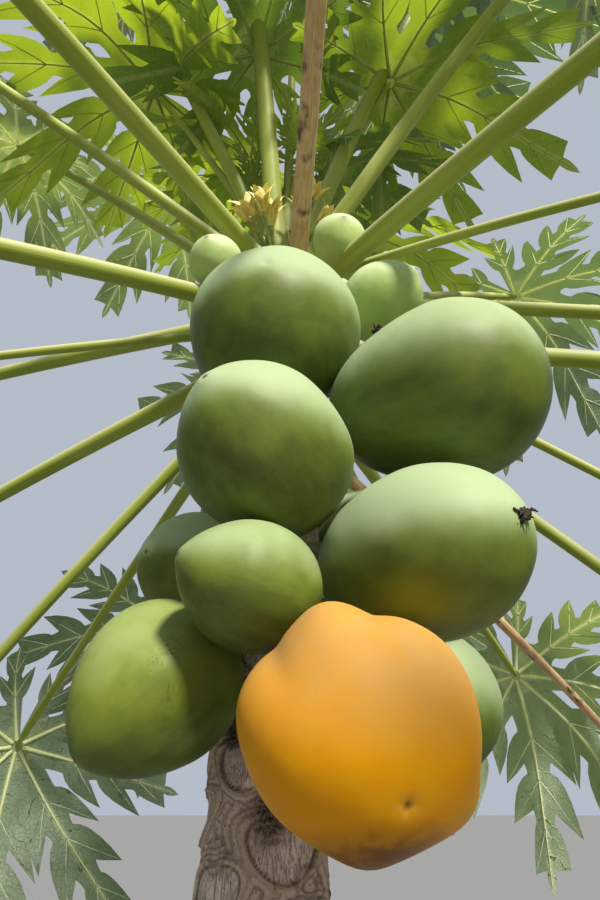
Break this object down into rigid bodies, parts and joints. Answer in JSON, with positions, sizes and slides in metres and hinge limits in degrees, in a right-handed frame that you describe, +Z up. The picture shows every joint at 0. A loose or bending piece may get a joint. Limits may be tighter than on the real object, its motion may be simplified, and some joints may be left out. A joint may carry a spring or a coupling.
{
  "type": "papaya tree",
  "caption": "Fruiting papaya tree: one leaning, leaf-scarred trunk with a crowded column of green and ripening fruit under a crown of long-stalked palmate leaves.",
  "frame": {"origin": "middle of the flat cut under the trunk, at ground level", "axes": "+Z up; the trunk leans towards +Y, and the side with the ripe fruit faces -Y"},
  "size_m": [2.0944, 1.9542, 2.7975],
  "materials": {
    "bark": "rough grey-brown bark with large leaf scars",
    "fruit_green": "smooth green skin with a pale waxy bloom",
    "fruit_young": "smooth pale green skin",
    "fruit_ripe": "smooth orange skin with a dusty bloom",
    "leaf": "soft matte green leaf, paler underneath",
    "leaf_young": "soft bright green young leaf",
    "dead_leaf": "dry brown stalk and shrivelled blade"
  },
  "bodies": {
    "root": {"dead_leaf_front": "dead_leaf", "dead_leaf_right": "dead_leaf", "fruit_back_1": "fruit_green", "fruit_back_2": "fruit_green", "fruit_back_3": "fruit_green", "fruit_back_4": "fruit_green", "fruit_bottom_left": "fruit_green", "fruit_lower_left": "fruit_green", "fruit_lower_right": "fruit_green", "fruit_middle": "fruit_green", "fruit_ripe": "fruit_ripe", "fruit_side_left": "fruit_green", "fruit_side_right": "fruit_green", "fruit_top": "fruit_green", "fruit_upper_right": "fruit_green", "fruit_young": "fruit_young", "leaf_back_1": "leaf", "leaf_back_2": "leaf", "leaf_back_3": "leaf", "leaf_back_4": "leaf", "leaf_back_5": "leaf", "leaf_back_6": "leaf", "leaf_back_7": "leaf", "leaf_back_8": "leaf", "leaf_heart_1": "leaf_young", "leaf_heart_2": "leaf_young", "leaf_left_1": "leaf", "leaf_left_2": "leaf", "leaf_left_3": "leaf", "leaf_left_4": "leaf", "leaf_left_5": "leaf", "leaf_left_6": "leaf", "leaf_left_7": "leaf", "leaf_left_8": "leaf", "leaf_left_9": "leaf", "leaf_right_1": "leaf", "leaf_right_2": "leaf", "leaf_right_3": "leaf", "leaf_right_4": "leaf", "leaf_right_5": "leaf", "leaf_right_6": "leaf", "leaf_right_7": "leaf", "leaf_right_8": "leaf", "trunk": "bark"}
  },
  "joints": []
}
